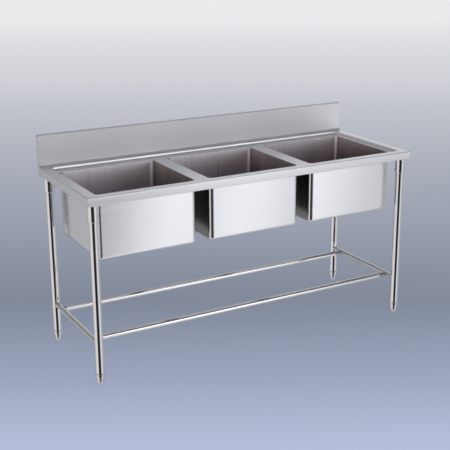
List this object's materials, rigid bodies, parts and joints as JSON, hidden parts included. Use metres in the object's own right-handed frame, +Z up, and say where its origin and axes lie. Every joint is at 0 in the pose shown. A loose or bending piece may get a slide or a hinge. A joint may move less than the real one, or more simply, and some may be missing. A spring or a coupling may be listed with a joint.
{
  "type": "three compartment sink",
  "caption": "Free-standing stainless catering sink: a long rimmed deck with deep square bowls and a backsplash, on tube legs with cross rails and screw feet.",
  "frame": {"origin": "on the floor under the middle of the deck, half-way along its length and depth", "axes": "+X to the right when facing the sink, +Y towards the backsplash, +Z up"},
  "size_m": [1.68, 0.62, 1],
  "materials": {
    "satin_steel": "satin brushed stainless sheet",
    "brushed_steel": "brushed stainless, duller inside the bowls",
    "polished_tube": "mirror polished stainless tube",
    "zinc_plate": "plated steel fixings",
    "black_rubber": "moulded rubber",
    "grey_nylon": "moulded nylon"
  },
  "bodies": {
    "sink_frame": {"deck": "satin_steel", "backsplash": "satin_steel", "splash_end_left": "satin_steel", "splash_end_right": "satin_steel", "bowl_left": "brushed_steel", "drain_body_left": "polished_tube", "drain_gasket_left": "black_rubber", "drain_nut_left": "zinc_plate", "bowl_middle": "brushed_steel", "drain_body_middle": "polished_tube", "drain_gasket_middle": "black_rubber", "drain_nut_middle": "zinc_plate", "bowl_right": "brushed_steel", "drain_body_right": "polished_tube", "drain_gasket_right": "black_rubber", "drain_nut_right": "zinc_plate", "leg_front_left": "polished_tube", "leg_socket_front_left": "polished_tube", "socket_screw_front_left": "zinc_plate", "foot_insert_front_left": "grey_nylon", "leg_front_right": "polished_tube", "leg_socket_front_right": "polished_tube", "socket_screw_front_right": "zinc_plate", "foot_insert_front_right": "grey_nylon", "leg_rear_left": "polished_tube", "leg_socket_rear_left": "polished_tube", "socket_screw_rear_left": "zinc_plate", "foot_insert_rear_left": "grey_nylon", "leg_rear_right": "polished_tube", "leg_socket_rear_right": "polished_tube", "socket_screw_rear_right": "zinc_plate", "foot_insert_rear_right": "grey_nylon", "channel_left": "zinc_plate", "side_stretcher_left": "polished_tube", "channel_right": "zinc_plate", "side_stretcher_right": "polished_tube", "long_rail_front": "polished_tube", "rail_stub_front_left": "zinc_plate", "rail_stub_front_right": "zinc_plate", "long_rail_rear": "polished_tube", "rail_stub_rear_left": "zinc_plate", "rail_stub_rear_right": "zinc_plate"},
    "strainer_left": {"strainer_basket_left": "polished_tube", "strainer_seal_left": "black_rubber"},
    "strainer_middle": {"strainer_basket_middle": "polished_tube", "strainer_seal_middle": "black_rubber"},
    "strainer_right": {"strainer_basket_right": "polished_tube", "strainer_seal_right": "black_rubber"},
    "foot_stem_front_left": {"foot_stem_front_left": "zinc_plate"},
    "foot_shell_front_left": {"foot_shell_front_left": "polished_tube"},
    "foot_stem_front_right": {"foot_stem_front_right": "zinc_plate"},
    "foot_shell_front_right": {"foot_shell_front_right": "polished_tube"},
    "foot_stem_rear_left": {"foot_stem_rear_left": "zinc_plate"},
    "foot_shell_rear_left": {"foot_shell_rear_left": "polished_tube"},
    "foot_stem_rear_right": {"foot_stem_rear_right": "zinc_plate"},
    "foot_shell_rear_right": {"foot_shell_rear_right": "polished_tube"}
  },
  "joints": [
    {"name": "strainer_lift_left", "type": "slide", "parent": "sink_frame", "child": "strainer_left", "axis": [0, 0, 1], "range_m": [0, 0.5]},
    {"name": "strainer_lift_middle", "type": "slide", "parent": "sink_frame", "child": "strainer_middle", "axis": [0, 0, 1], "range_m": [0, 0.5]},
    {"name": "strainer_lift_right", "type": "slide", "parent": "sink_frame", "child": "strainer_right", "axis": [0, 0, 1], "range_m": [0, 0.5]},
    {"name": "foot_drop_front_left", "type": "slide", "parent": "sink_frame", "child": "foot_stem_front_left", "axis": [0, 0, -1], "range_m": [0, 0.0245]},
    {"name": "foot_turn_front_left", "type": "hinge", "parent": "foot_stem_front_left", "child": "foot_shell_front_left", "pos_m": [-0.806, -0.275, 0.03], "axis": [0, 0, -1], "range_deg": [0, 5040]},
    {"name": "foot_drop_front_right", "type": "slide", "parent": "sink_frame", "child": "foot_stem_front_right", "axis": [0, 0, -1], "range_m": [0, 0.0245]},
    {"name": "foot_turn_front_right", "type": "hinge", "parent": "foot_stem_front_right", "child": "foot_shell_front_right", "pos_m": [0.806, -0.275, 0.03], "axis": [0, 0, -1], "range_deg": [0, 5040]},
    {"name": "foot_drop_rear_left", "type": "slide", "parent": "sink_frame", "child": "foot_stem_rear_left", "axis": [0, 0, -1], "range_m": [0, 0.0245]},
    {"name": "foot_turn_rear_left", "type": "hinge", "parent": "foot_stem_rear_left", "child": "foot_shell_rear_left", "pos_m": [-0.806, 0.262, 0.03], "axis": [0, 0, -1], "range_deg": [0, 5040]},
    {"name": "foot_drop_rear_right", "type": "slide", "parent": "sink_frame", "child": "foot_stem_rear_right", "axis": [0, 0, -1], "range_m": [0, 0.0245]},
    {"name": "foot_turn_rear_right", "type": "hinge", "parent": "foot_stem_rear_right", "child": "foot_shell_rear_right", "pos_m": [0.806, 0.262, 0.03], "axis": [0, 0, -1], "range_deg": [0, 5040]}
  ],
  "couplings": [
    {"joint": "foot_drop_front_left", "follows": "foot_turn_front_left", "m_per_rad": 0.00027852},
    {"joint": "foot_drop_front_right", "follows": "foot_turn_front_right", "m_per_rad": 0.00027852},
    {"joint": "foot_drop_rear_left", "follows": "foot_turn_rear_left", "m_per_rad": 0.00027852},
    {"joint": "foot_drop_rear_right", "follows": "foot_turn_rear_right", "m_per_rad": 0.00027852}
  ]
}
